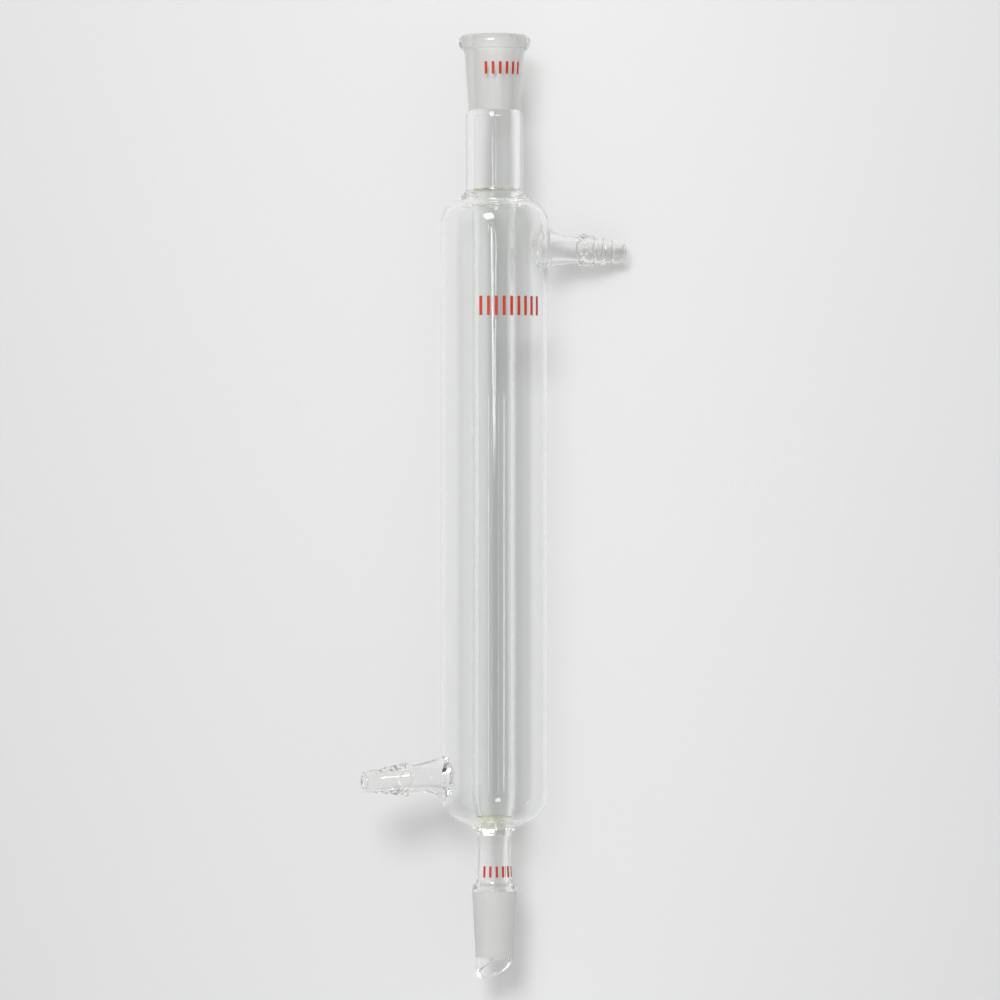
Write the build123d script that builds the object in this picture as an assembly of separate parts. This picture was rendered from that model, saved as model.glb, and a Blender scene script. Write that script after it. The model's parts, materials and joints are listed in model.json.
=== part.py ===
from build123d import *
import os
from math import asin, atan2, cos, degrees, hypot, radians, sin, tan

# Liebig condenser of borosilicate glass: a 14/23 ground socket above, a 14/23 ground cone with a
# drip tip below, a water jacket about 200 mm long, and two side arms with hose barbs.
# Each glass blank that is fused to the next is a solid of its own, and the blanks meet face to face.
#
# It lies on a bench, which is Z = 0. Its axis runs along Y, with the socket towards +Y, and the
# outlet arm points towards +X. The jacket and the nose of the outlet barb touch the bench, so the
# condenser is rolled about its axis. Sections are drawn in (radius, y), and each solid is made
# unrolled, with its arms along X and its printed side facing +Z, and is then rolled into place.
# Lengths are in millimetres and angles in degrees.

# ---------------------------------------------------------------- driving dimensions
# Standard taper 14/23: 14.5 mm at the large end, 23 mm long, 1 mm of diameter lost in 10 mm
TAPER_LARGE_D = 14.5
TAPER_LENGTH = 23.0
TAPER_RATE = 0.1

# Water jacket: domed shoulder above, rounded cone below
JACKET_D = 34.5
JACKET_WALL = 1.2
JACKET_LENGTH = 203.0
JACKET_DOME_ANGLE = 20.0
JACKET_SHOULDER_R = 8.0
JACKET_NECK_D = 22.5
JACKET_CONE_ANGLE = 22.0
JACKET_CONE_ROUND = 9.5
JACKET_OUTFALL_D = 13.6
JACKET_OUTFALL_BORE_D = 11.4

# Inner tube, drawn in a little at its lower end
TUBE_D = 14.2
TUBE_WALL = 1.8
TUBE_END_D = 12.4
TUBE_END_LENGTH = 5.5

# Stem between the upper ring seal and the socket
UPPER_STEM_D = 18.5
UPPER_STEM_WALL = 2.4
UPPER_STEM_LENGTH = 25.3
UPPER_STEM_SHOULDER = 2.3

# Ground socket with its rim bead
SOCKET_LENGTH = 24.5
SOCKET_WAIST_D = 16.7
SOCKET_NECK_D = 19.3
RIM_D = 23.4
RIM_HEIGHT = 5.2
RIM_ROUND = 2.9
RIM_UNDER_ROUND = 1.8
RIM_MOUTH_CHAMFER = 0.5

# Ring seals: thick rings where the jacket, the inner tube and a stem are fused together. The
# collars show outside the jacket, and the webs reach inside it to the inner tube.
UPPER_COLLAR = 3.1
UPPER_COLLAR_SWELL = 0.4
UPPER_WEB_DROP = 1.4
LOWER_COLLAR = 2.2
LOWER_COLLAR_DRAW = 0.2
LOWER_WEB_RISE = 3.2
SEAL_BORE_EASE = 0.2

# Stem, ground cone and drip tip below the jacket
LOWER_STEM_D = 11.0
LOWER_STEM_WAIST_D = 10.4
LOWER_STEM_FOOT_D = 11.6
LOWER_STEM_WAIST_UP = 9.5
LOWER_STEM_BORE_D = 7.2
LOWER_STEM_LENGTH = 15.0
CONE_SHOULDER = 1.6
CONE_BORE_D = 10.0
TIP_LENGTH = 7.4
TIP_D = 11.6
TIP_CUT_DROP = 7.8
TIP_CUT_AZIMUTH = 200.0

# Side arms, trumpet-shaped where they meet the jacket, both leaning towards the cone
ARM_DROOP = 3.0
OUTLET_BELOW_TOP = 14.9
INLET_ABOVE_BOTTOM = 17.6
ARM_BASE_D = 15.6
ARM_BASE_REACH = 16.0
ARM_MID_D = 10.8
ARM_MID_REACH = 20.3
ARM_D = 8.6
ARM_REACH = 28.1
ARM_BORE_D = 6.0
ARM_PORT_D = 9.6

# Hose barbs on the ends of the arms
BARB_D = 11.1
BARB_NOSE_D = 6.6
BARB_NOSE_BORE_D = 4.2
BARB_BACK = 2.0
BARB_LENGTH = 16.4
BARB_RINGS = 4
BARB_STEP = 0.45
BARB_NOSE_LAND = 1.3
BARB_NOSE_CHAMFER = 0.4

# Red enamel marks, each a row of upright bars whose foot is so far above the lower end of the
# socket, jacket or stem. The lift is a hair of clearance between the enamel and the glass.
ENAMEL = 0.08
ENAMEL_LIFT = 0.01
SOCKET_MARK = {"bars": 6, "width": 0.9, "pitch": 2.3, "height": 4.0, "above": 11.4}
JACKET_MARK = {"bars": 9, "width": 1.0, "pitch": 2.5, "height": 6.2, "above": 165.0}
STEM_MARK = {"bars": 6, "width": 0.8, "pitch": 2.1, "height": 3.6, "above": 1.4}

# ---------------------------------------------------------------- stations along the axis
OVERALL = (TIP_LENGTH + TAPER_LENGTH + CONE_SHOULDER + LOWER_STEM_LENGTH + LOWER_COLLAR
           + JACKET_LENGTH + UPPER_COLLAR + UPPER_STEM_LENGTH + SOCKET_LENGTH)
Y_TIP = -OVERALL / 2
Y_CONE_SMALL = Y_TIP + TIP_LENGTH
Y_CONE_LARGE = Y_CONE_SMALL + TAPER_LENGTH
Y_LOWER_STEM = Y_CONE_LARGE + CONE_SHOULDER
Y_LOWER_SEAL = Y_LOWER_STEM + LOWER_STEM_LENGTH
Y_JACKET = Y_LOWER_SEAL + LOWER_COLLAR
Y_TUBE = Y_JACKET + LOWER_WEB_RISE
Y_JACKET_TOP = Y_JACKET + JACKET_LENGTH
Y_TUBE_TOP = Y_JACKET_TOP - UPPER_WEB_DROP
Y_UPPER_STEM = Y_JACKET_TOP + UPPER_COLLAR
Y_SOCKET = Y_UPPER_STEM + UPPER_STEM_LENGTH
Y_TOP = Y_SOCKET + SOCKET_LENGTH
Y_OUTLET = Y_JACKET_TOP - OUTLET_BELOW_TOP
Y_INLET = Y_JACKET + INLET_ABOVE_BOTTOM

# ---------------------------------------------------------------- radii used in several places
JACKET_R = JACKET_D / 2
JACKET_BORE_R = JACKET_R - JACKET_WALL
NECK_R = JACKET_NECK_D / 2
NECK_BORE_R = NECK_R - JACKET_WALL
OUTFALL_R = JACKET_OUTFALL_D / 2
OUTFALL_BORE_R = JACKET_OUTFALL_BORE_D / 2
TUBE_R = TUBE_D / 2
TUBE_BORE_R = TUBE_R - TUBE_WALL
TUBE_END_R = TUBE_END_D / 2
TUBE_END_BORE_R = TUBE_END_R - TUBE_WALL
UPPER_STEM_R = UPPER_STEM_D / 2
UPPER_STEM_BORE_R = UPPER_STEM_R - UPPER_STEM_WALL
WAIST_R = SOCKET_WAIST_D / 2
TAPER_LARGE_R = TAPER_LARGE_D / 2
TAPER_SMALL_R = TAPER_LARGE_R - TAPER_RATE * TAPER_LENGTH / 2
LOWER_STEM_R = LOWER_STEM_D / 2
LOWER_STEM_WAIST_R = LOWER_STEM_WAIST_D / 2
LOWER_STEM_FOOT_R = LOWER_STEM_FOOT_D / 2
LOWER_STEM_BORE_R = LOWER_STEM_BORE_D / 2
CONE_BORE_R = CONE_BORE_D / 2
ARM_R = ARM_D / 2
ARM_BORE_R = ARM_BORE_D / 2
NOSE_R = BARB_NOSE_D / 2
NOSE_REACH = ARM_REACH + BARB_LENGTH

# Roll that brings the outlet's nose down to the bench. A point of the nose at reach a and radius b
# from the arm's axis is a sin(roll) + b cos(roll) below the condenser's axis, which is one jacket
# radius above the bench.
TOUCH_REACH = (NOSE_REACH - BARB_NOSE_CHAMFER) * cos(radians(ARM_DROOP))
ROLL = degrees(asin(JACKET_R / hypot(TOUCH_REACH, NOSE_R)) - atan2(NOSE_R, TOUCH_REACH))


# ---------------------------------------------------------------- helpers
def lathe(points, rounds=()):
    """Solid of revolution about Y. Each of rounds is a (radius, y) corner and its rounding."""
    face = make_face(Polyline(*points, close=True))
    for corner, rounding in rounds:
        sharp = face.vertices().sort_by_distance((*corner, 0))[0]
        face = fillet(sharp, rounding)
    return revolve(face, Axis.Y)


def on_arm(solid, y, side):
    """Moves a solid turned about Y onto an arm: side 1 is the outlet, side -1 the inlet."""
    return Pos(0, y, 0) * Rot(0, 0, -side * (90 + ARM_DROOP)) * solid


def on_bench(solid):
    """Rolls a solid about the condenser's axis and lays it on the bench."""
    return Pos(0, 0, JACKET_R) * Rot(0, ROLL, 0) * solid


# ---------------------------------------------------------------- jacket and inner tube
def jacket_envelope(inset):
    """The jacket's outer form for inset 0, and its water space for inset JACKET_WALL."""
    wall_r = JACKET_R - inset
    foot_y = Y_JACKET + inset / cos(radians(JACKET_CONE_ANGLE))
    top_y = Y_JACKET_TOP - inset / cos(radians(JACKET_DOME_ANGLE))
    cone = (wall_r, foot_y + (wall_r - OUTFALL_R) * tan(radians(JACKET_CONE_ANGLE)))
    shoulder = (wall_r, top_y - (wall_r - NECK_R) * tan(radians(JACKET_DOME_ANGLE)))
    return lathe([(0, foot_y), (OUTFALL_R, foot_y), cone, shoulder, (NECK_R, top_y), (0, top_y)],
                 [(cone, JACKET_CONE_ROUND - inset), (shoulder, JACKET_SHOULDER_R - inset)])


def necks():
    """The openings at the jacket's two ends, where the ring seals fit."""
    top = lathe([(0, Y_JACKET_TOP - 2 * JACKET_WALL), (NECK_BORE_R, Y_JACKET_TOP - 2 * JACKET_WALL),
                 (NECK_BORE_R, Y_JACKET_TOP + JACKET_WALL), (0, Y_JACKET_TOP + JACKET_WALL)])
    bottom = lathe([(0, Y_JACKET - JACKET_WALL), (OUTFALL_BORE_R, Y_JACKET - JACKET_WALL),
                    (OUTFALL_BORE_R, Y_JACKET + 2 * JACKET_WALL), (0, Y_JACKET + 2 * JACKET_WALL)])
    return top + bottom


def port():
    """Bore of a side arm where it passes through the jacket's wall."""
    return lathe([(0, TUBE_R), (ARM_PORT_D / 2, TUBE_R), (ARM_PORT_D / 2, JACKET_D), (0, JACKET_D)])


def jacket():
    shell = jacket_envelope(0) - jacket_envelope(JACKET_WALL) - necks()
    shell -= on_arm(port(), Y_OUTLET, 1)
    shell -= on_arm(port(), Y_INLET, -1)
    return shell


def inner_tube():
    bend_y = Y_TUBE + TUBE_END_LENGTH
    return lathe([(TUBE_END_BORE_R, Y_TUBE), (TUBE_END_R, Y_TUBE), (TUBE_R, bend_y),
                  (TUBE_R, Y_TUBE_TOP), (TUBE_BORE_R, Y_TUBE_TOP), (TUBE_BORE_R, bend_y)])


# ---------------------------------------------------------------- ring seals
def upper_ring_seal():
    """Flares from the stem to the jacket's neck, with a web that carries the inner tube."""
    middle_y = Y_JACKET_TOP + UPPER_COLLAR / 2
    return lathe([(UPPER_STEM_BORE_R, Y_UPPER_STEM), (UPPER_STEM_R, Y_UPPER_STEM),
                  (UPPER_STEM_R + UPPER_COLLAR_SWELL, middle_y), (NECK_R, Y_JACKET_TOP),
                  (NECK_BORE_R, Y_JACKET_TOP), (TUBE_R, Y_TUBE_TOP), (TUBE_BORE_R, Y_TUBE_TOP),
                  (TUBE_BORE_R + SEAL_BORE_EASE, Y_JACKET_TOP), (UPPER_STEM_BORE_R, middle_y)])


def lower_ring_seal():
    """Collar under the jacket, with a sleeve that rises inside it to the inner tube."""
    collar_y = Y_JACKET - LOWER_COLLAR / 2
    wall_top_y = Y_JACKET + JACKET_WALL / cos(radians(JACKET_CONE_ANGLE))
    return lathe([(LOWER_STEM_BORE_R, Y_LOWER_SEAL), (LOWER_STEM_R, Y_LOWER_SEAL),
                  (OUTFALL_R - LOWER_COLLAR_DRAW, collar_y), (OUTFALL_R, Y_JACKET),
                  (OUTFALL_BORE_R, Y_JACKET), (OUTFALL_BORE_R, wall_top_y),
                  (TUBE_END_R, Y_TUBE), (TUBE_END_BORE_R, Y_TUBE), (LOWER_STEM_BORE_R, Y_JACKET)])


# ---------------------------------------------------------------- upper stem and socket
def socket_stem():
    shoulder = (UPPER_STEM_R, Y_SOCKET - UPPER_STEM_SHOULDER)
    return lathe([(UPPER_STEM_BORE_R, Y_UPPER_STEM), (UPPER_STEM_R, Y_UPPER_STEM), shoulder,
                  (WAIST_R, Y_SOCKET), (TAPER_SMALL_R, Y_SOCKET), (UPPER_STEM_BORE_R, shoulder[1])],
                 [(shoulder, UPPER_STEM_SHOULDER / 2)])


def ground_socket():
    """Tapered ground bore, an outside that tapers with it, and a rounded bead at the mouth."""
    bead_y = Y_TOP - RIM_HEIGHT
    bead_under = (RIM_D / 2, bead_y)
    bead_over = (RIM_D / 2, Y_TOP)
    mouth_y = Y_TOP - RIM_MOUTH_CHAMFER
    mouth_r = TAPER_LARGE_R - RIM_MOUTH_CHAMFER * TAPER_RATE / 2
    return lathe([(TAPER_SMALL_R, Y_SOCKET), (WAIST_R, Y_SOCKET), (SOCKET_NECK_D / 2, bead_y),
                  bead_under, bead_over, (TAPER_LARGE_R + RIM_MOUTH_CHAMFER, Y_TOP),
                  (mouth_r, mouth_y), (TAPER_SMALL_R, Y_TOP - TAPER_LENGTH)],
                 [(bead_under, RIM_UNDER_ROUND), (bead_over, RIM_ROUND)])


# ---------------------------------------------------------------- lower stem, cone and drip tip
def cone_stem():
    """Slightly waisted stem, widest at its foot on the cone."""
    return lathe([(LOWER_STEM_BORE_R, Y_LOWER_STEM), (LOWER_STEM_FOOT_R, Y_LOWER_STEM),
                  (LOWER_STEM_WAIST_R, Y_LOWER_STEM + LOWER_STEM_WAIST_UP),
                  (LOWER_STEM_R, Y_LOWER_SEAL), (LOWER_STEM_BORE_R, Y_LOWER_SEAL)])


def ground_cone():
    """Shoulder, ground taper and clear drip tip, with the tip cut off at a slant."""
    blank = lathe([(LOWER_STEM_BORE_R, Y_LOWER_STEM), (LOWER_STEM_FOOT_R, Y_LOWER_STEM),
                   (TAPER_LARGE_R, Y_CONE_LARGE), (TAPER_SMALL_R, Y_CONE_SMALL),
                   (TIP_D / 2, Y_TIP), (CONE_BORE_R, Y_TIP), (CONE_BORE_R, Y_CONE_LARGE)])
    slant = atan2(TIP_CUT_DROP, TIP_D)
    azimuth = radians(TIP_CUT_AZIMUTH)
    normal = (sin(slant) * sin(azimuth), cos(slant), sin(slant) * cos(azimuth))
    cut = Plane(origin=(0, Y_TIP + TIP_CUT_DROP / 2, 0), z_dir=normal)
    return split(blank, bisect_by=cut, keep=Keep.TOP)


# ---------------------------------------------------------------- side arms and hose barbs
def arm_form():
    """Trumpet-shaped side arm, from inside the jacket's wall to the barb."""
    base = (ARM_BASE_D / 2, ARM_BASE_REACH)
    middle = (ARM_MID_D / 2, ARM_MID_REACH)
    end = (ARM_R, ARM_REACH)
    outside = ThreePointArc(base, middle, end)
    port_bend = (ARM_BORE_R, ARM_MID_REACH)
    inside = Polyline(end, (ARM_BORE_R, ARM_REACH), port_bend, (ARM_PORT_D / 2, JACKET_R),
                      (ARM_PORT_D / 2, ARM_BASE_REACH - 2 * JACKET_WALL),
                      (ARM_BASE_D / 2, ARM_BASE_REACH - 2 * JACKET_WALL), base)
    return revolve(make_face(outside + inside), Axis.Y)


def side_arm(y, side):
    return on_arm(arm_form(), y, side) - jacket_envelope(0)


def barb_form():
    """Rings that rise from the nose towards the arm, each with a step behind its crest."""
    pitch = (BARB_LENGTH - BARB_BACK - BARB_NOSE_LAND) / BARB_RINGS
    rise = (BARB_D / 2 - NOSE_R) / BARB_RINGS
    outline = [(BARB_NOSE_BORE_D / 2, NOSE_REACH), (NOSE_R - BARB_NOSE_CHAMFER, NOSE_REACH),
               (NOSE_R, NOSE_REACH - BARB_NOSE_CHAMFER), (NOSE_R, NOSE_REACH - BARB_NOSE_LAND)]
    for ring in range(1, BARB_RINGS + 1):
        crest_y = NOSE_REACH - BARB_NOSE_LAND - ring * pitch
        crest_r = NOSE_R + ring * rise
        outline.append((crest_r, crest_y))
        if ring < BARB_RINGS:
            outline.append((crest_r - BARB_STEP, crest_y))
    outline += [(ARM_R, ARM_REACH), (ARM_BORE_R, ARM_REACH)]
    return lathe(outline)


# ---------------------------------------------------------------- enamel marks
def enamel_skin(low, high):
    """Thin skin of enamel on the surface whose (radius, y) line runs from low to high."""
    inner_low = (low[0] + ENAMEL_LIFT, low[1])
    inner_high = (high[0] + ENAMEL_LIFT, high[1])
    outer_low = (inner_low[0] + ENAMEL, low[1])
    outer_high = (inner_high[0] + ENAMEL, high[1])
    return lathe([inner_low, outer_low, outer_high, inner_high])


def bar_row(mark, low, high):
    """Row of upright bars around the printed side, cut from a skin of enamel."""
    skin = enamel_skin(low, high)
    mean_r = (low[0] + high[0]) / 2
    step = degrees(mark["pitch"] / mean_r)
    bars = []
    for number in range(mark["bars"]):
        turn = (number - (mark["bars"] - 1) / 2) * step
        stencil = Box(mark["width"], 2 * mark["height"], mean_r)
        stencil = Rot(0, turn, 0) * Pos(0, (low[1] + high[1]) / 2, mean_r) * stencil
        bars += (skin & stencil).solids()
    return Compound(bars)


def mark_on_line(mark, low, high):
    """Row of bars on the surface whose (radius, y) line runs from low up to high."""
    slope = (high[0] - low[0]) / (high[1] - low[1])
    foot = (low[0] + slope * mark["above"], low[1] + mark["above"])
    head = (foot[0] + slope * mark["height"], foot[1] + mark["height"])
    return bar_row(mark, foot, head)


# ---------------------------------------------------------------- assembly
PARTS = {
    "ground_socket": ground_socket(),
    "socket_stem": socket_stem(),
    "upper_ring_seal": upper_ring_seal(),
    "water_jacket": jacket(),
    "inner_tube": inner_tube(),
    "lower_ring_seal": lower_ring_seal(),
    "cone_stem": cone_stem(),
    "ground_cone": ground_cone(),
    "outlet_arm": side_arm(Y_OUTLET, 1),
    "outlet_barb": on_arm(barb_form(), Y_OUTLET, 1),
    "inlet_arm": side_arm(Y_INLET, -1),
    "inlet_barb": on_arm(barb_form(), Y_INLET, -1),
    "socket_mark": mark_on_line(SOCKET_MARK, (WAIST_R, Y_SOCKET), (SOCKET_NECK_D / 2, Y_TOP - RIM_HEIGHT)),
    "jacket_mark": mark_on_line(JACKET_MARK, (JACKET_R, Y_JACKET), (JACKET_R, Y_JACKET_TOP)),
    "stem_mark": mark_on_line(STEM_MARK, (LOWER_STEM_FOOT_R, Y_LOWER_STEM),
                              (LOWER_STEM_WAIST_R, Y_LOWER_STEM + LOWER_STEM_WAIST_UP)),
}

os.makedirs("parts", exist_ok=True)
for name, solid in PARTS.items():
    export_step(on_bench(solid), f"parts/{name}.step")
print(f"overall {OVERALL:.1f}  roll {ROLL:.2f}  outlet y {Y_OUTLET:.1f}  inlet y {Y_INLET:.1f}")
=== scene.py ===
import json
from math import atan2, ceil, cos, hypot, pi, radians, sin, sqrt, tan

import bmesh
import bpy
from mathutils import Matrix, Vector


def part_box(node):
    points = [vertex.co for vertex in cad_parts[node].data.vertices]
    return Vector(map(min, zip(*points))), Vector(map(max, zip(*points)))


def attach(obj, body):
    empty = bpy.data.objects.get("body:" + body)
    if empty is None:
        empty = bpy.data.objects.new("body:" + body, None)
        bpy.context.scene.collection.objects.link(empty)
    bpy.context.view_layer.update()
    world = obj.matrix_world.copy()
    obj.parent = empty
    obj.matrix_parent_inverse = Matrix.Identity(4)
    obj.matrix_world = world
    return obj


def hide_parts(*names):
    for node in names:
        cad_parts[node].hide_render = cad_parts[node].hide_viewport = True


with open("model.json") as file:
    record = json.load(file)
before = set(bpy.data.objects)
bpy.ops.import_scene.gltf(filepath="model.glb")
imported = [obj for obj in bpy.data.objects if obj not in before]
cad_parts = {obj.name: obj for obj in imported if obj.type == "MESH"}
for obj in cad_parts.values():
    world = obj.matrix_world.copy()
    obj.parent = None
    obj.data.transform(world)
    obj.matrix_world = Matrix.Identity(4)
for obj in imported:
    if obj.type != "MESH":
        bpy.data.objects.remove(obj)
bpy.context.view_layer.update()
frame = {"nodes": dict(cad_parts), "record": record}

# Looks of a liebig condenser lying on a pale bench. Outlines are in millimetres, as (radius, y)
# along the axis that a piece is turned about, and meshes are in metres in the frame's axes.

MM = 0.001


# ---------------------------------------------------------------- stations, from the frame
def low_y(node):
    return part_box(node)[0].y / MM


def high_y(node):
    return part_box(node)[1].y / MM


def half_width(node):
    low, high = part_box(node)
    return (high.x - low.x) / 2 / MM


MOUNTS = {mount["name"]: mount for mount in frame["record"]["mounts"]}
AXIS_Z = MOUNTS["upper_socket"]["pos_m"][2]

Y_TIP = low_y("ground_cone")
Y_CONE = MOUNTS["lower_cone"]["pos_m"][1] / MM
Y_LOWER_STEM = low_y("cone_stem")
Y_LOWER_SEAL = low_y("lower_ring_seal")
Y_JACKET = low_y("water_jacket")
Y_TUBE = low_y("inner_tube")
Y_TUBE_TOP = high_y("inner_tube")
Y_JACKET_TOP = high_y("water_jacket")
Y_UPPER_STEM = low_y("socket_stem")
Y_SOCKET = low_y("ground_socket")
Y_TOP = high_y("ground_socket")

# ---------------------------------------------------------------- sections of the glass, mm
JACKET_R = AXIS_Z / MM
JACKET_WALL = 1.2
JACKET_BORE_R = JACKET_R - JACKET_WALL
JACKET_CONE_ANGLE = radians(22)
JACKET_CONE_ROUND = 9.5
JACKET_DOME_ANGLE = radians(20)
JACKET_SHOULDER = 8.0
Y_CEILING = Y_JACKET_TOP - JACKET_WALL
NECK_R = half_width("upper_ring_seal")
NECK_BORE_R = NECK_R - JACKET_WALL
OUTFALL_R = half_width("lower_ring_seal")
OUTFALL_BORE_R = OUTFALL_R - 1.1
Y_CONE_INSIDE = Y_JACKET + JACKET_WALL / cos(JACKET_CONE_ANGLE)
Y_OUTFALL_BORE = Y_CONE_INSIDE - (OUTFALL_R - OUTFALL_BORE_R) * tan(JACKET_CONE_ANGLE)
TUBE_R = half_width("inner_tube")
TUBE_BORE_R = TUBE_R - 1.8
TUBE_TOP_BORE_R = 6.5
TUBE_END_R = 6.2
TUBE_END_BORE_R = 4.4
TUBE_END_LENGTH = 5.5
OLIVE_DEPTH = 0.8
STEM_R = half_width("socket_stem")
STEM_BORE_R = STEM_R - 2.4
WAIST_R = 8.35
LOWER_STEM_R = 5.5
LOWER_STEM_BORE_R = 3.6
LOWER_STEM_FOOT_R = half_width("cone_stem")
LOWER_STEM_WAIST_R = 5.2
LOWER_STEM_WAIST_UP = 9.5
RIM_R = half_width("ground_socket")
TAPER_LENGTH = 23.0
TAPER_LARGE_R = 7.25
TAPER_SLOPE = 0.05
TAPER_SMALL_R = TAPER_LARGE_R - TAPER_LENGTH * TAPER_SLOPE
GROUND_START = 1.6
TIP_R = 5.8
TIP_WALL = 1.3
TIP_CUT_DROP = 7.8
TIP_TURN = radians(20)
PORT_R = 4.8
ARM_R = 4.3
ARM_BORE_R = 3.0
ARM_BASE_R = 6.7
ARM_BASE_FLARE = 2.7
BARB_R = 5.55
BARB_NOSE_R = 3.3
BARB_NOSE_BORE_R = 2.1
BARB_LENGTH = 16.4
BARB_RINGS = 4
BARB_STEP = 0.42
BARB_LAND = 1.3
BARB_BACK = 2.0
CRACK = 0.02

SEGMENTS = 144
ARC_STEP = radians(9)
RING_SPACING = 3.0
SHARP_EDGE = radians(38)

GLASS_IOR = 1.473
FACING_BLEND = 0.2
BOUNCES = 400


# ---------------------------------------------------------------- materials
def new_material(name):
    material = bpy.data.materials.new(name)
    material.use_nodes = True
    nodes = material.node_tree.nodes
    nodes.clear()
    output = nodes.new("ShaderNodeOutputMaterial")
    return material, nodes, material.node_tree.links, output


def noise(nodes, links, scale, detail, stretch=(1.0, 1.0, 1.0)):
    """Noise in the object's own coordinates, in metres, so that its grain has a real size."""
    coordinates = nodes.new("ShaderNodeTexCoord")
    mapping = nodes.new("ShaderNodeMapping")
    mapping.inputs["Scale"].default_value = stretch
    texture = nodes.new("ShaderNodeTexNoise")
    texture.inputs["Scale"].default_value = scale
    texture.inputs["Detail"].default_value = detail
    links.new(coordinates.outputs["Object"], mapping.inputs["Vector"])
    links.new(mapping.outputs["Vector"], texture.inputs["Vector"])
    return texture.outputs["Fac"]


def mapped(nodes, links, value, low, high, start=0.3, end=0.7):
    """Spreads the middle of a noise over a range of values."""
    ramp = nodes.new("ShaderNodeMapRange")
    ramp.inputs["From Min"].default_value = start
    ramp.inputs["From Max"].default_value = end
    ramp.inputs["To Min"].default_value = low
    ramp.inputs["To Max"].default_value = high
    links.new(value, ramp.inputs["Value"])
    return ramp.outputs["Result"]


def bumped(nodes, links, height, strength, distance):
    bump = nodes.new("ShaderNodeBump")
    bump.inputs["Strength"].default_value = strength
    bump.inputs["Distance"].default_value = distance
    links.new(height, bump.inputs["Height"])
    return bump.outputs["Normal"]


def let_light_through(nodes, links, glass, output, face_on, edge_on):
    """Light on its way to the bench goes straight through, less so where the glass is edge on."""
    light_path = nodes.new("ShaderNodeLightPath")
    facing = nodes.new("ShaderNodeLayerWeight")
    facing.inputs["Blend"].default_value = FACING_BLEND
    pass_colour = nodes.new("ShaderNodeMix")
    pass_colour.data_type = "RGBA"
    pass_colour.inputs["A"].default_value = (*face_on, 1)
    pass_colour.inputs["B"].default_value = (*edge_on, 1)
    links.new(facing.outputs["Facing"], pass_colour.inputs["Factor"])
    clear = nodes.new("ShaderNodeBsdfTransparent")
    links.new(pass_colour.outputs["Result"], clear.inputs["Color"])
    surface = glass.outputs["BSDF"]
    for ray in ("Is Diffuse Ray", "Is Shadow Ray"):
        mix = nodes.new("ShaderNodeMixShader")
        links.new(light_path.outputs[ray], mix.inputs["Fac"])
        links.new(surface, mix.inputs[1])
        links.new(clear.outputs["BSDF"], mix.inputs[2])
        surface = mix.outputs["Shader"]
    links.new(surface, output.inputs["Surface"])


def clear_glass(name, tint, face_on, edge_on):
    """Fire-polished borosilicate: faint draw lines along the tube and a few dull smudges."""
    material, nodes, links, output = new_material(name)
    glass = nodes.new("ShaderNodeBsdfPrincipled")
    glass.inputs["Base Color"].default_value = (*tint, 1)
    glass.inputs["Transmission Weight"].default_value = 1.0
    glass.inputs["IOR"].default_value = GLASS_IOR
    smudges = noise(nodes, links, 90, 3)
    links.new(mapped(nodes, links, smudges, 0.0, 0.012, 0.5, 0.75), glass.inputs["Roughness"])
    draw_lines = noise(nodes, links, 260, 2, (1.0, 0.015, 1.0))
    links.new(bumped(nodes, links, draw_lines, 0.05, 0.0002), glass.inputs["Normal"])
    let_light_through(nodes, links, glass, output, face_on, edge_on)
    return material


def hazed_glass():
    """Outside of the ground socket: nearly clear, with the slight haze of handled glass."""
    material, nodes, links, output = new_material("hazed_glass")
    glass = nodes.new("ShaderNodeBsdfPrincipled")
    glass.inputs["Base Color"].default_value = (0.93, 0.93, 0.92, 1)
    glass.inputs["Transmission Weight"].default_value = 0.92
    glass.inputs["IOR"].default_value = GLASS_IOR
    haze = noise(nodes, links, 260, 3, (1.0, 0.5, 1.0))
    links.new(mapped(nodes, links, haze, 0.12, 0.2), glass.inputs["Roughness"])
    grain = noise(nodes, links, 4500, 2)
    links.new(bumped(nodes, links, grain, 0.08, 0.00004), glass.inputs["Normal"])
    let_light_through(nodes, links, glass, output, (0.93, 0.93, 0.925), (0.75, 0.75, 0.74))
    return material


def ground_glass():
    """Ground joint: fine white grain with slightly duller and brighter bands round it."""
    material, nodes, links, output = new_material("ground_glass_matt")
    glass = nodes.new("ShaderNodeBsdfPrincipled")
    glass.inputs["Transmission Weight"].default_value = 0.55
    glass.inputs["IOR"].default_value = GLASS_IOR
    bands = noise(nodes, links, 320, 2, (0.08, 1.0, 0.08))
    tone = nodes.new("ShaderNodeMix")
    tone.data_type = "RGBA"
    tone.inputs["A"].default_value = (0.80, 0.80, 0.785, 1)
    tone.inputs["B"].default_value = (0.87, 0.87, 0.855, 1)
    links.new(bands, tone.inputs["Factor"])
    links.new(tone.outputs["Result"], glass.inputs["Base Color"])
    links.new(mapped(nodes, links, bands, 0.48, 0.62), glass.inputs["Roughness"])
    grain = noise(nodes, links, 4500, 2)
    links.new(bumped(nodes, links, grain, 0.5, 0.00005), glass.inputs["Normal"])
    let_light_through(nodes, links, glass, output, (0.8, 0.8, 0.79), (0.6, 0.6, 0.6))
    return material


def weld():
    """Inside a fused joint the glass runs on, so nothing shows there."""
    material, nodes, links, output = new_material("fused_joint")
    clear = nodes.new("ShaderNodeBsdfTransparent")
    links.new(clear.outputs["BSDF"], output.inputs["Surface"])
    return material


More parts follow.
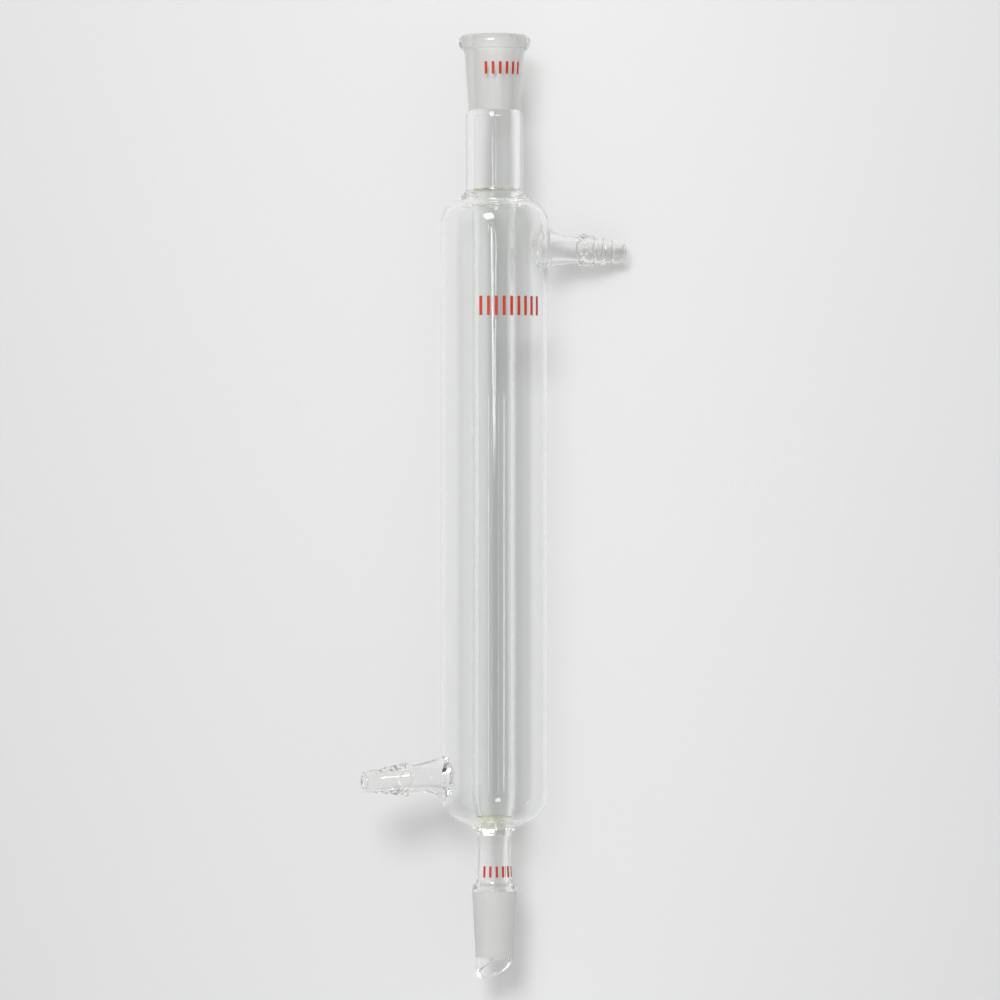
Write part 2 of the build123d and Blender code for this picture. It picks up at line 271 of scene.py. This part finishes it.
def red_enamel():
    """Fired enamel: screen-printed, a little thin and uneven, satin."""
    material, nodes, links, output = new_material("red_enamel_print")
    enamel = nodes.new("ShaderNodeBsdfPrincipled")
    patches = noise(nodes, links, 1400, 3)
    tone = nodes.new("ShaderNodeMix")
    tone.data_type = "RGBA"
    tone.inputs["A"].default_value = (0.64, 0.055, 0.02, 1)
    tone.inputs["B"].default_value = (0.46, 0.028, 0.012, 1)
    links.new(mapped(nodes, links, patches, 0.0, 1.0, 0.35, 0.65), tone.inputs["Factor"])
    links.new(tone.outputs["Result"], enamel.inputs["Base Color"])
    links.new(mapped(nodes, links, patches, 0.32, 0.5), enamel.inputs["Roughness"])
    links.new(bumped(nodes, links, patches, 0.3, 0.00003), enamel.inputs["Normal"])
    links.new(enamel.outputs["BSDF"], output.inputs["Surface"])
    return material


def bench_top():
    """Pale laminate with a painted pool of light: brightest under the condenser and a little duller out
    to its two sides.
    """
    material, nodes, links, output = new_material("pale_bench_painted_light_pool")
    surface = nodes.new("ShaderNodeBsdfPrincipled")
    coordinates = nodes.new("ShaderNodeTexCoord")
    split = nodes.new("ShaderNodeSeparateXYZ")
    links.new(coordinates.outputs["Object"], split.inputs["Vector"])
    offset = nodes.new("ShaderNodeMath")
    offset.operation = "SUBTRACT"
    offset.inputs[1].default_value = 0.02
    links.new(split.outputs["X"], offset.inputs[0])
    distance = nodes.new("ShaderNodeMath")
    distance.operation = "ABSOLUTE"
    links.new(offset.outputs["Value"], distance.inputs[0])
    # Painted pool of light: the bench's colour is lightest at x = 0.02 m, under the condenser, and
    # darkens out to 0.22 m on either side.
    tone = nodes.new("ShaderNodeMix")
    tone.data_type = "RGBA"
    tone.inputs["A"].default_value = (0.83, 0.832, 0.83, 1)
    tone.inputs["B"].default_value = (0.7, 0.702, 0.7, 1)
    links.new(mapped(nodes, links, distance.outputs["Value"], 0.0, 1.0, 0.0, 0.22), tone.inputs["Factor"])
    links.new(tone.outputs["Result"], surface.inputs["Base Color"])
    mottle = noise(nodes, links, 900, 3)
    links.new(bumped(nodes, links, mottle, 0.1, 0.0001), surface.inputs["Normal"])
    surface.inputs["Roughness"].default_value = 0.7
    surface.inputs["Specular IOR Level"].default_value = 0.2
    links.new(surface.outputs["BSDF"], output.inputs["Surface"])
    return material


PLAIN_TINT = (0.992, 0.997, 0.994)
SEAL_PASS = ((0.93, 0.935, 0.91), (0.66, 0.67, 0.62))

CLEAR = clear_glass("clear_glass_tube", PLAIN_TINT, (0.88, 0.882, 0.88), (0.6, 0.6, 0.6))
THIN = clear_glass("clear_glass_jacket", PLAIN_TINT, (0.996, 0.997, 0.996), (0.9, 0.9, 0.9))
TUBE = clear_glass("clear_glass_inner_tube", PLAIN_TINT, (0.85, 0.852, 0.85), (0.54, 0.54, 0.54))
SEAL = clear_glass("seal_glass_thick", (0.982, 0.989, 0.958), *SEAL_PASS)
OLIVE = clear_glass("seal_glass_olive", (0.83, 0.87, 0.58), *SEAL_PASS)
BARB = clear_glass("clear_glass_barb", (0.991, 0.995, 0.984), (0.88, 0.882, 0.875), (0.55, 0.55, 0.545))
HAZED = hazed_glass()
GROUND = ground_glass()
WELD = weld()
ENAMEL = red_enamel()


# ---------------------------------------------------------------- outlines
def fillet_points(before, corner, after, radius):
    """Points of the arc of that radius that rounds the corner between its two neighbours."""
    corner = Vector(corner)
    to_before = (Vector(before) - corner).normalized()
    to_after = (Vector(after) - corner).normalized()
    half = to_before.angle(to_after) / 2
    middle = corner + (to_before + to_after).normalized() * (radius / sin(half))
    start = corner + to_before * (radius / tan(half)) - middle
    turn = pi - 2 * half
    sign = 1 if start.x * to_after.y - start.y * to_after.x > 0 else -1
    steps = max(2, ceil(turn / ARC_STEP))
    points = []
    for step in range(steps + 1):
        angle = sign * turn * step / steps
        points.append((middle.x + start.x * cos(angle) - start.y * sin(angle),
                       middle.y + start.x * sin(angle) + start.y * cos(angle)))
    return points


def outline(corners):
    """Line through (radius, y) corners, rounded where a corner has a third number, a radius."""
    points = []
    for index, corner in enumerate(corners):
        if len(corner) == 3:
            before, after = corners[index - 1], corners[index + 1]
            points += fillet_points(before[:2], corner[:2], after[:2], corner[2])
        else:
            points.append(corner)
    line = [points[0]]
    for point in points[1:]:
        length = hypot(point[0] - line[-1][0], point[1] - line[-1][1])
        if length < 1e-4:
            continue
        start = line[-1]
        pieces = max(1, ceil(length / RING_SPACING))
        for piece in range(1, pieces + 1):
            share = piece / pieces
            line.append((start[0] + (point[0] - start[0]) * share,
                         start[1] + (point[1] - start[1]) * share))
    return line


def ellipse_arc(centre, radii, start, end, steps=14):
    """Corners along an arc of an ellipse, from one angle to another in degrees."""
    corners = []
    for step in range(steps + 1):
        angle = radians(start + (end - start) * step / steps)
        corners.append((centre[0] + radii[0] * cos(angle), centre[1] + radii[1] * sin(angle)))
    return corners


# ---------------------------------------------------------------- turned glass
def place_on(origin, axis):
    """Where a piece is turned: its origin, its axis, and two directions across the axis."""
    axis = Vector(axis).normalized()
    helper = Vector((0, 1, 0)) if abs(axis.y) < 0.9 else FRONT
    first = (helper - axis * helper.dot(axis)).normalized()
    return {"origin": Vector(origin), "axis": axis, "first": first, "second": axis.cross(first)}


def mesh_piece(name, points, faces, slots, materials):
    mesh = bpy.data.meshes.new(name)
    mesh.from_pydata(points, [], faces)
    for material in materials:
        mesh.materials.append(material)
    for polygon, slot in zip(mesh.polygons, slots):
        polygon.material_index = slot
    shell = bmesh.new()
    shell.from_mesh(mesh)
    bmesh.ops.recalc_face_normals(shell, faces=shell.faces)
    shell.to_mesh(mesh)
    shell.free()
    mesh.shade_smooth()
    mesh.set_sharp_from_angle(angle=SHARP_EDGE)
    piece = bpy.data.objects.new(name, mesh)
    bpy.context.scene.collection.objects.link(piece)
    return piece


def ring_faces(rings, segments, slots):
    """Quads between each ring of points and the next, and back from the last ring to the first."""
    faces = []
    face_slots = []
    for ring in range(rings):
        after = (ring + 1) % rings
        for step in range(segments):
            side = (step + 1) % segments
            faces.append((ring * segments + step, ring * segments + side,
                          after * segments + side, after * segments + step))
            face_slots.append(slots[ring])
    return faces, face_slots


def turned(name, place, runs, warp=None):
    """Closed ring of glass. Each run is a material and its corners, and starts where the last ended."""
    materials = []
    profile = []
    profile_slots = []
    for material, corners in runs:
        if material not in materials:
            materials.append(material)
        line = outline(corners)
        profile += line[:-1]
        profile_slots += [materials.index(material)] * (len(line) - 1)
    points = []
    for radius, y in profile:
        for step in range(SEGMENTS):
            angle = 2 * pi * step / SEGMENTS
            r, along = warp(angle, radius, y) if warp else (radius, y)
            across = place["first"] * cos(angle) + place["second"] * sin(angle)
            points.append(place["origin"] + (place["axis"] * along + across * r) * MM)
    faces, face_slots = ring_faces(len(profile), SEGMENTS, profile_slots)
    return mesh_piece(name, points, faces, face_slots, materials)


def show(piece, node):
    """The piece rides on the glass and stands for its CAD node."""
    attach(piece, "root")
    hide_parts(node)


# The printed side faces FRONT, a right angle from the side arms.
OUTLET_AXIS = Vector(MOUNTS["water_outlet"]["axis"])
ROLL = atan2(-OUTLET_AXIS.z, OUTLET_AXIS.x)
FRONT = Vector((sin(ROLL), 0, cos(ROLL)))
SIDE = Vector((cos(ROLL), 0, -sin(ROLL)))
MAIN = place_on((0, 0, AXIS_Z), (0, 1, 0))


def seal_wobble(y_from, y_to, amount):
    """Hand-made unevenness of a ring seal, nothing at its two ends."""
    def warp(angle, radius, y):
        share = min(1.0, max(0.0, (y - y_from) / (y_to - y_from)))
        swell = sin(pi * share) * amount
        wave = sin(2 * angle + 0.7) + 0.6 * sin(3 * angle + 2.1) + 0.4 * sin(5 * angle + 4.0)
        return radius + swell * wave, y + 0.5 * swell * sin(3 * angle + 0.4)
    return warp


def make_socket():
    bead_low = Y_TOP - 5.1
    taper_end = Y_SOCKET + 0.3
    bead = ellipse_arc((RIM_R - 2.75, Y_TOP - 2.6), (2.75, 2.6), -62, 90)
    return turned("ground_socket_glass", MAIN, [
        (HAZED, [(WAIST_R, Y_SOCKET), (WAIST_R + 1.25, bead_low - 0.2, 3.0), bead[0]] + bead[1:]
         + [(TAPER_LARGE_R + 0.55, Y_TOP, 0.25), (TAPER_LARGE_R, Y_TOP - 0.7)]),
        (GROUND, [(TAPER_LARGE_R, Y_TOP - 0.7), (TAPER_SMALL_R, taper_end)]),
        (CLEAR, [(TAPER_SMALL_R, taper_end), (TAPER_SMALL_R, Y_SOCKET)]),
        (WELD, [(TAPER_SMALL_R, Y_SOCKET), (WAIST_R, Y_SOCKET)])])


def make_socket_stem():
    shoulder_y = Y_SOCKET - 1.6
    return turned("socket_stem_glass", MAIN, [
        (CLEAR, [(STEM_R, Y_UPPER_STEM), (STEM_R, shoulder_y, 2.4), (WAIST_R, Y_SOCKET)]),
        (WELD, [(WAIST_R, Y_SOCKET), (TAPER_SMALL_R, Y_SOCKET)]),
        (CLEAR, [(TAPER_SMALL_R, Y_SOCKET), (STEM_BORE_R, shoulder_y - 0.6, 1.2),
                 (STEM_BORE_R, Y_UPPER_STEM)]),
        (WELD, [(STEM_BORE_R, Y_UPPER_STEM), (STEM_R, Y_UPPER_STEM)])])


def make_upper_seal():
    """Collar from the stem to the jacket's neck, and a web under it that carries the inner tube."""
    return turned("upper_ring_seal_glass", MAIN, [
        (SEAL, [(STEM_R, Y_UPPER_STEM), (STEM_R + 0.25, Y_UPPER_STEM - 1.1, 1.0),
                (NECK_R, Y_JACKET_TOP)]),
        (WELD, [(NECK_R, Y_JACKET_TOP), (NECK_BORE_R, Y_JACKET_TOP), (NECK_BORE_R, Y_CEILING)]),
        (SEAL, [(NECK_BORE_R, Y_CEILING), (TUBE_R + 0.4, Y_CEILING, 0.25),
                (TUBE_R, Y_TUBE_TOP - 0.4)]),
        (WELD, [(TUBE_R, Y_TUBE_TOP - 0.4), (TUBE_R, Y_TUBE_TOP), (TUBE_TOP_BORE_R, Y_TUBE_TOP)]),
        (SEAL, [(TUBE_TOP_BORE_R, Y_TUBE_TOP), (STEM_BORE_R - 0.1, Y_JACKET_TOP + 0.6, 3.0),
                (STEM_BORE_R, Y_UPPER_STEM - 0.9)]),
        (OLIVE, [(STEM_BORE_R, Y_UPPER_STEM - 0.9), (STEM_BORE_R, Y_UPPER_STEM)]),
        (WELD, [(STEM_BORE_R, Y_UPPER_STEM), (STEM_R, Y_UPPER_STEM)])],
        seal_wobble(Y_JACKET_TOP, Y_UPPER_STEM, 0.16))


def port_cutter(arm):
    """Plug that cuts the arm's port through the jacket's wall."""
    core_r = 0.01
    low = JACKET_BORE_R - 4
    high = JACKET_R + 4
    return turned("port_cutter", arm, [
        (WELD, [(core_r, low), (PORT_R, low), (PORT_R, high), (core_r, high), (core_r, low)])])


def make_jacket(arms):
    """Jacket with a domed shoulder, a rounded cone, and a port for each arm."""
    slope = tan(JACKET_CONE_ANGLE)
    dome = tan(JACKET_DOME_ANGLE)
    cone_y = Y_JACKET + (JACKET_R - OUTFALL_R) * slope
    inner_cone_y = Y_CONE_INSIDE + (JACKET_BORE_R - OUTFALL_R) * slope
    shoulder_y = Y_JACKET_TOP - (JACKET_R - NECK_R) * dome
    inner_shoulder_y = Y_CEILING - (JACKET_BORE_R - NECK_BORE_R) * dome
    jacket = turned("water_jacket_glass", MAIN, [
        (THIN, [(OUTFALL_R, Y_JACKET), (JACKET_R, cone_y, JACKET_CONE_ROUND),
                (JACKET_R, shoulder_y, JACKET_SHOULDER), (NECK_R, Y_JACKET_TOP)]),
        (WELD, [(NECK_R, Y_JACKET_TOP), (NECK_BORE_R, Y_JACKET_TOP)]),
        (WELD, [(NECK_BORE_R, Y_JACKET_TOP), (NECK_BORE_R, Y_CEILING)]),
        (THIN, [(NECK_BORE_R, Y_CEILING),
                (JACKET_BORE_R, inner_shoulder_y, JACKET_SHOULDER - JACKET_WALL),
                (JACKET_BORE_R, inner_cone_y, JACKET_CONE_ROUND - JACKET_WALL),
                (OUTFALL_BORE_R, Y_OUTFALL_BORE)]),
        (WELD, [(OUTFALL_BORE_R, Y_OUTFALL_BORE), (OUTFALL_BORE_R, Y_JACKET), (OUTFALL_R, Y_JACKET)])])
    for arm in arms:
        cutter = port_cutter(arm)
        cut = jacket.modifiers.new("port", "BOOLEAN")
        cut.operation = "DIFFERENCE"
        cut.solver = "EXACT"
        cut.material_mode = "TRANSFER"
        cut.object = cutter
        bpy.context.view_layer.update()
        depsgraph = bpy.context.evaluated_depsgraph_get()
        shaped = bpy.data.meshes.new_from_object(jacket.evaluated_get(depsgraph))
        jacket.modifiers.remove(cut)
        jacket.data = shaped
        bpy.data.objects.remove(cutter)
    jacket.data.shade_smooth()
    jacket.data.set_sharp_from_angle(angle=SHARP_EDGE)
    return jacket


def make_tube():
    bend_y = Y_TUBE + TUBE_END_LENGTH

    def drawn(angle, radius, y):
        """The tube bows and swells by a few hundredths of a millimetre along its length."""
        share = (y - Y_TUBE) / (Y_TUBE_TOP - Y_TUBE)
        bow = 0.12 * sin(pi * share) * cos(angle - 0.8)
        swell = 0.025 * sin(9.0 * share + 0.5) * sin(pi * share)
        return radius + bow + swell, y
    return turned("inner_tube_glass", MAIN, [
        (TUBE, [(TUBE_END_R, Y_TUBE), (TUBE_R, bend_y, 12.0), (TUBE_R, Y_TUBE_TOP)]),
        (WELD, [(TUBE_R, Y_TUBE_TOP), (TUBE_TOP_BORE_R, Y_TUBE_TOP)]),
        (TUBE, [(TUBE_TOP_BORE_R, Y_TUBE_TOP), (TUBE_BORE_R, Y_TUBE_TOP - 6.0, 30.0),
                 (TUBE_BORE_R, bend_y, 12.0), (TUBE_END_BORE_R, Y_TUBE)]),
        (WELD, [(TUBE_END_BORE_R, Y_TUBE), (TUBE_END_R, Y_TUBE)])], drawn)


def make_lower_seal():
    """Collar under the jacket, with a sleeve inside it that rises to the inner tube."""
    return turned("lower_ring_seal_glass", MAIN, [
        (SEAL, [(LOWER_STEM_R, Y_LOWER_SEAL), (OUTFALL_R - 0.5, Y_LOWER_SEAL + 1.0, 1.0),
                (OUTFALL_R, Y_JACKET)]),
        (WELD, [(OUTFALL_R, Y_JACKET), (OUTFALL_BORE_R, Y_JACKET), (OUTFALL_BORE_R, Y_OUTFALL_BORE)]),
        (SEAL, [(OUTFALL_BORE_R, Y_OUTFALL_BORE), (TUBE_END_R + 0.35, Y_TUBE - 0.9)]),
        (OLIVE, [(TUBE_END_R + 0.35, Y_TUBE - 0.9), (TUBE_END_R, Y_TUBE)]),
        (WELD, [(TUBE_END_R, Y_TUBE), (TUBE_END_BORE_R, Y_TUBE)]),
        (OLIVE, [(TUBE_END_BORE_R, Y_TUBE), (TUBE_END_BORE_R - 0.1, Y_TUBE - OLIVE_DEPTH)]),
        (SEAL, [(TUBE_END_BORE_R - 0.1, Y_TUBE - OLIVE_DEPTH),
                (LOWER_STEM_BORE_R + 0.2, Y_JACKET + 0.4, 1.5), (LOWER_STEM_BORE_R, Y_LOWER_SEAL)]),
        (WELD, [(LOWER_STEM_BORE_R, Y_LOWER_SEAL), (LOWER_STEM_R, Y_LOWER_SEAL)])],
        seal_wobble(Y_LOWER_SEAL, Y_TUBE, 0.07))


def make_cone_stem():
    waist_y = Y_LOWER_STEM + LOWER_STEM_WAIST_UP
    return turned("cone_stem_glass", MAIN, [
        (CLEAR, [(LOWER_STEM_FOOT_R, Y_LOWER_STEM), (LOWER_STEM_WAIST_R, waist_y, 20.0),
                 (LOWER_STEM_R, Y_LOWER_SEAL)]),
        (WELD, [(LOWER_STEM_R, Y_LOWER_SEAL), (LOWER_STEM_BORE_R, Y_LOWER_SEAL)]),
        (CLEAR, [(LOWER_STEM_BORE_R, Y_LOWER_SEAL), (LOWER_STEM_BORE_R - 0.2, waist_y, 20.0),
                 (LOWER_STEM_BORE_R, Y_LOWER_STEM)]),
        (WELD, [(LOWER_STEM_BORE_R, Y_LOWER_STEM), (LOWER_STEM_FOOT_R, Y_LOWER_STEM)])])


def make_cone():
    """Ground cone whose clear tip is cut at a slant and fire polished.

    The tip is longest behind the print, some way round towards the inlet's side.
    """
    small_y = Y_CONE - TAPER_LENGTH
    ground_y = Y_CONE - GROUND_START
    ground_r = TAPER_LARGE_R - GROUND_START * TAPER_SLOPE
    bore_r = TIP_R - TIP_WALL
    lip_r = TIP_WALL / 2
    lip = ellipse_arc((TIP_R - lip_r, Y_TIP + lip_r), (lip_r, lip_r), 0, -180, 8)
    longest = -FRONT * cos(TIP_TURN) - SIDE * sin(TIP_TURN)
    longest_angle = atan2(MAIN["second"].dot(longest), MAIN["first"].dot(longest))

    def slant(angle, radius, y):
        share = min(1.0, max(0.0, (small_y - y) / (small_y - Y_TIP)))
        lift = TIP_CUT_DROP / 2 * (1 - cos(angle - longest_angle) * radius / TIP_R)
        return radius, y + lift * share

    return turned("ground_cone_glass", MAIN, [
        (CLEAR, [(LOWER_STEM_FOOT_R, Y_LOWER_STEM), (LOWER_STEM_FOOT_R + 0.15, Y_LOWER_STEM - 0.5, 0.3),
                 (TAPER_LARGE_R - 0.05, Y_CONE + 0.2, 0.4), (ground_r, ground_y)]),
        (GROUND, [(ground_r, ground_y), (TAPER_SMALL_R, small_y)]),
        (CLEAR, [(TAPER_SMALL_R, small_y)] + lip + [(bore_r + 0.1, small_y),
                 (bore_r + 0.45, Y_CONE - 1.2, 1.0), (LOWER_STEM_BORE_R, Y_LOWER_STEM)]),
        (WELD, [(LOWER_STEM_BORE_R, Y_LOWER_STEM), (LOWER_STEM_FOOT_R, Y_LOWER_STEM)])], slant)


# ---------------------------------------------------------------- side arms
def arm_place(mount):
    """Place of an arm, from its hose mount: the axis starts on the condenser's own axis."""
    axis = Vector(mount["axis"]).normalized()
    nose = Vector(mount["pos_m"])
    reach = hypot(nose.x, nose.z - AXIS_Z) / hypot(axis.x, axis.z)
    place = place_on(nose - axis * reach, axis)
    place["nose_reach"] = reach / MM
    return place


def on_jacket(place, radius, angle, surface_r):
    """How far along the arm its ring of that radius meets a cylinder about the condenser's axis."""
    across = (place["first"] * cos(angle) + place["second"] * sin(angle)) * radius
    flat = Vector((place["axis"].x, 0, place["axis"].z))
    a = flat.length_squared
    b = 2 * (flat.x * across.x + flat.z * across.z)
    c = across.x ** 2 + across.z ** 2 - surface_r ** 2
    return (-b + sqrt(b * b - 4 * a * c)) / (2 * a)


def bezier(points, share):
    keep = 1 - share
    weights = (keep ** 3, 3 * keep ** 2 * share, 3 * keep * share ** 2, share ** 3)
    return tuple(sum(weight * point[axis] for weight, point in zip(weights, points)) for axis in (0, 1))


def blend(first, second, share):
    return tuple(a + (b - a) * share for a, b in zip(first, second))


def make_arm(name, place, toward_end):
    """Trumpet-shaped arm: a long cone on the side of the jacket's middle, a tight flare on the other.

    toward_end is 1 where the nearer end of the jacket is towards +Y, and -1 otherwise.
    """
    end_reach = place["nose_reach"] - BARB_LENGTH
    surface_r = JACKET_R + CRACK

    def outside(angle, share):
        tight = (1 + toward_end * cos(angle)) / 2
        base_r = ARM_BASE_R + ARM_BASE_FLARE * tight ** 2
        base_d = on_jacket(place, base_r, angle, surface_r)
        hold = blend((base_r - 0.5, base_d + 1.0), (base_r - 2.6, base_d + 0.35), tight)
        lead = blend((5.0, 23.0), (ARM_R, 18.6), tight)
        return bezier(((base_r, base_d), hold, lead, (ARM_R, end_reach)), share)

    def bore(angle, share):
        port = (PORT_R, on_jacket(place, PORT_R, angle, surface_r))
        hold, lead = (ARM_BORE_R, 22.0), (ARM_BORE_R + 0.5, 19.0)
        return bezier(((ARM_BORE_R, end_reach), hold, lead, port), share)

    def base_face(angle, share):
        outer_r = outside(angle, 0)[0]
        r = PORT_R + (outer_r - PORT_R) * share
        return r, on_jacket(place, r, angle, surface_r)

    sections = [(outside, step / 18) for step in range(19)]
    slots = [0] * len(sections)
    slots[-1] = 1
    sections += [(bore, step / 8) for step in range(9)]
    sections += [(base_face, step / 4) for step in range(1, 4)]
    slots += [0] * (len(sections) - len(slots))
    points = []
    for section, share in sections:
        for side in range(SEGMENTS):
            angle = 2 * pi * side / SEGMENTS
            r, along = section(angle, share)
            across = place["first"] * cos(angle) + place["second"] * sin(angle)
            points.append(place["origin"] + (place["axis"] * along + across * r) * MM)
    faces, face_slots = ring_faces(len(sections), SEGMENTS, slots)
    return mesh_piece(name, points, faces, face_slots, [CLEAR, WELD])


def make_barb(name, place):
    """Hose barb: cones that widen from the nose, with a short undercut behind each crest."""
    nose = place["nose_reach"]
    back = nose - BARB_LENGTH
    pitch = (BARB_LENGTH - BARB_BACK - BARB_LAND) / BARB_RINGS
    rise = (BARB_R - BARB_NOSE_R) / BARB_RINGS
    crests = []
    for ring in range(BARB_RINGS, 0, -1):
        crest_y = nose - BARB_LAND - ring * pitch
        crest_r = BARB_NOSE_R + ring * rise
        if ring < BARB_RINGS:
            crests.append((crest_r - BARB_STEP, crest_y - 0.3, 0.25))
        crests.append((crest_r + 0.04, crest_y + 0.15, 0.14))
    return turned(name, place, [
        (BARB, [(ARM_R, back), (ARM_R + 0.1, back + 0.75, 0.3), (BARB_R - 0.25, back + 1.3, 0.3)] + crests
         + [(BARB_NOSE_R - 0.05, nose - 1.2, 0.3), (BARB_NOSE_R, nose, 0.35),
            (BARB_NOSE_BORE_R, nose, 0.35), (ARM_BORE_R, back)]),
        (WELD, [(ARM_BORE_R, back), (ARM_R, back)])])


# ---------------------------------------------------------------- the object
OUTLET = arm_place(MOUNTS["water_outlet"])
INLET = arm_place(MOUNTS["water_inlet"])

show(make_socket(), "ground_socket")
show(make_socket_stem(), "socket_stem")
show(make_upper_seal(), "upper_ring_seal")
show(make_jacket([OUTLET, INLET]), "water_jacket")
show(make_tube(), "inner_tube")
show(make_lower_seal(), "lower_ring_seal")
show(make_cone_stem(), "cone_stem")
show(make_cone(), "ground_cone")
show(make_arm("outlet_arm_glass", OUTLET, 1), "outlet_arm")
show(make_barb("outlet_barb_glass", OUTLET), "outlet_barb")
show(make_arm("inlet_arm_glass", INLET, -1), "inlet_arm")
show(make_barb("inlet_barb_glass", INLET), "inlet_barb")

for mark in ("socket_mark", "jacket_mark", "stem_mark"):
    frame["nodes"][mark].material_slots[0].material = ENAMEL


# ---------------------------------------------------------------- bench, light and camera
def make_bench():
    half = 4.0
    corners = [(-half, -half, 0), (half, -half, 0), (half, half, 0), (-half, half, 0)]
    mesh = bpy.data.meshes.new("bench_top")
    mesh.from_pydata(corners, [], [(0, 1, 2, 3)])
    mesh.materials.append(bench_top())
    bench = bpy.data.objects.new("bench_top", mesh)
    bpy.context.scene.collection.objects.link(bench)
    bench.location.z = -0.0002


def make_sky():
    """Soft room light: dim at the horizon, bright above it, darker again straight above."""
    world = bpy.data.worlds.new("soft_room")
    world.use_nodes = True
    nodes, links = world.node_tree.nodes, world.node_tree.links
    nodes.clear()
    output = nodes.new("ShaderNodeOutputWorld")
    background = nodes.new("ShaderNodeBackground")
    direction = nodes.new("ShaderNodeTexCoord")
    split = nodes.new("ShaderNodeSeparateXYZ")
    ramp = nodes.new("ShaderNodeValToRGB")
    stops = ramp.color_ramp.elements
    stops.remove(stops[1])
    for height, brightness in ((0.0, 0.22), (0.16, 0.24), (0.32, 0.5), (0.65, 0.5), (0.95, 0.19)):
        stop = stops[0] if height == 0.0 else stops.new(height)
        stop.color = (brightness, brightness, brightness, 1)
    links.new(direction.outputs["Generated"], split.inputs["Vector"])
    links.new(split.outputs["Z"], ramp.inputs["Fac"])
    links.new(ramp.outputs["Color"], background.inputs["Color"])
    links.new(background.outputs["Background"], output.inputs["Surface"])
    bpy.context.scene.world = world


def make_lamp(name, position, size, power, spread=180, colour=(1, 1, 1)):
    """Soft light aimed at the middle of the condenser."""
    light = bpy.data.lights.new(name, "AREA")
    light.shape = "RECTANGLE"
    light.size, light.size_y = size
    light.spread = radians(spread)
    light.energy = power
    light.color = colour
    lamp = bpy.data.objects.new(name, light)
    bpy.context.scene.collection.objects.link(lamp)
    lamp.location = position
    lamp.rotation_euler = Vector(position).to_track_quat("Z", "Y").to_euler()


def make_camera():
    """Straight above the bench, looking down, with the socket at the top of the picture."""
    distance = 2.4
    view_width = 0.3226
    data = bpy.data.cameras.new("camera")
    data.sensor_width = 36.0
    data.lens = data.sensor_width * (distance - AXIS_Z) / view_width
    camera = bpy.data.objects.new("camera", data)
    bpy.context.scene.collection.objects.link(camera)
    camera.location = (0.0018, 0.0024, distance)
    bpy.context.scene.camera = camera


make_bench()
make_sky()
make_lamp("key", (-0.7, 1.6, 2.9), (1.1, 1.1), 86.0)
make_lamp("strip", (-0.22, 0.14, 2.6), (0.05, 0.4), 0.007, 16)
make_lamp("window", (1.0, -0.075, 2.6), (0.3, 0.1), 0.66, colour=(0.72, 0.84, 1.0))
make_camera()

scene = bpy.context.scene
scene.view_settings.view_transform = "Standard"
# A ray that is totally reflected inside a wall bounces many times before it leaves the glass.
scene.cycles.max_bounces = BOUNCES
scene.cycles.transmission_bounces = BOUNCES
scene.cycles.glossy_bounces = BOUNCES
scene.cycles.transparent_max_bounces = 48
scene.cycles.caustics_refractive = False
scene.cycles.caustics_reflective = False
scene.cycles.use_denoising = True
